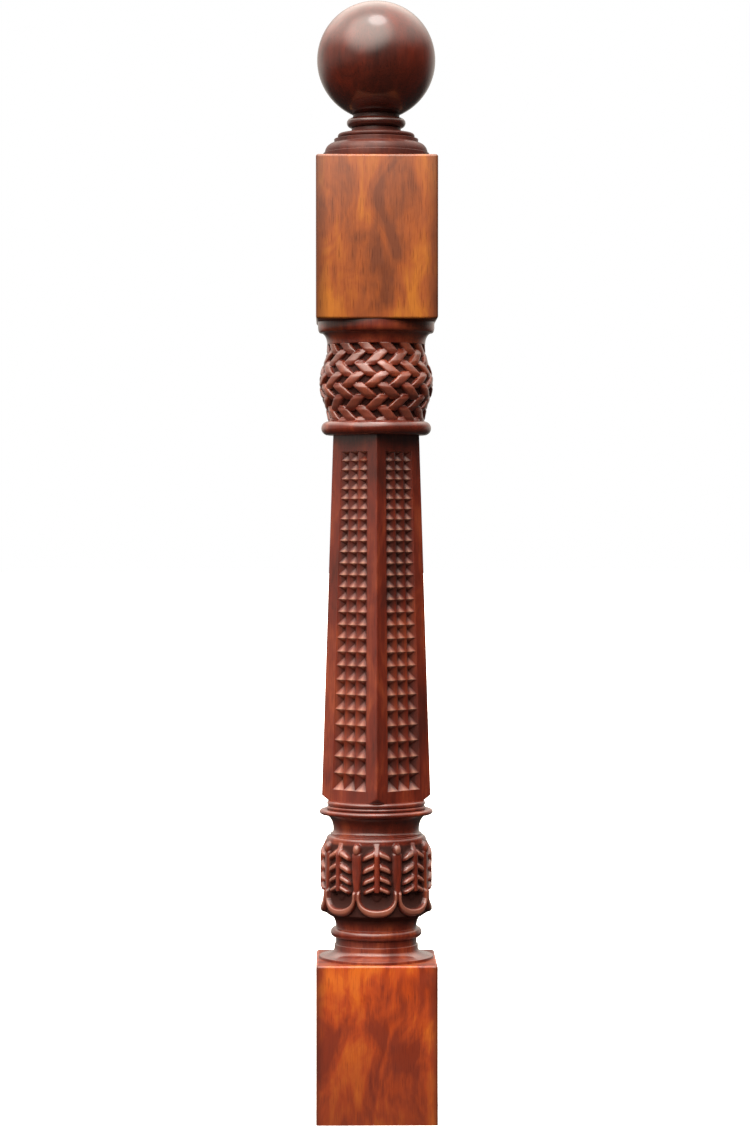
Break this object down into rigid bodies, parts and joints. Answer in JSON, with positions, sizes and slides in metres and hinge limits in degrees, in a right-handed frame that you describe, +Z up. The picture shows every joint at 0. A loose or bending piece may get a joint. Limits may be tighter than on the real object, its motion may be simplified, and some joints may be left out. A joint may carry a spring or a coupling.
{
  "type": "newel post",
  "caption": "Carved hardwood newel post with square rail blocks, a tapered chip-carved shaft, a basket-weave bulb, a leaf bulb and a ball finial.",
  "frame": {"origin": "centre of the lower block's underside, on the floor", "axes": "+Z up along the post's axis, -Y out of the block face seen in the picture, +X to the right in it"},
  "size_m": [0.12, 0.12, 1.1143],
  "materials": {
    "stained_wood": "glossy lacquer over red-brown mahogany stain, darker in the turnings and carving",
    "dark_stained_wood": "glossy lacquer over dark red-brown stain"
  },
  "bodies": {
    "root": {"post": "stained_wood", "ball_finial": "dark_stained_wood"}
  },
  "joints": []
}
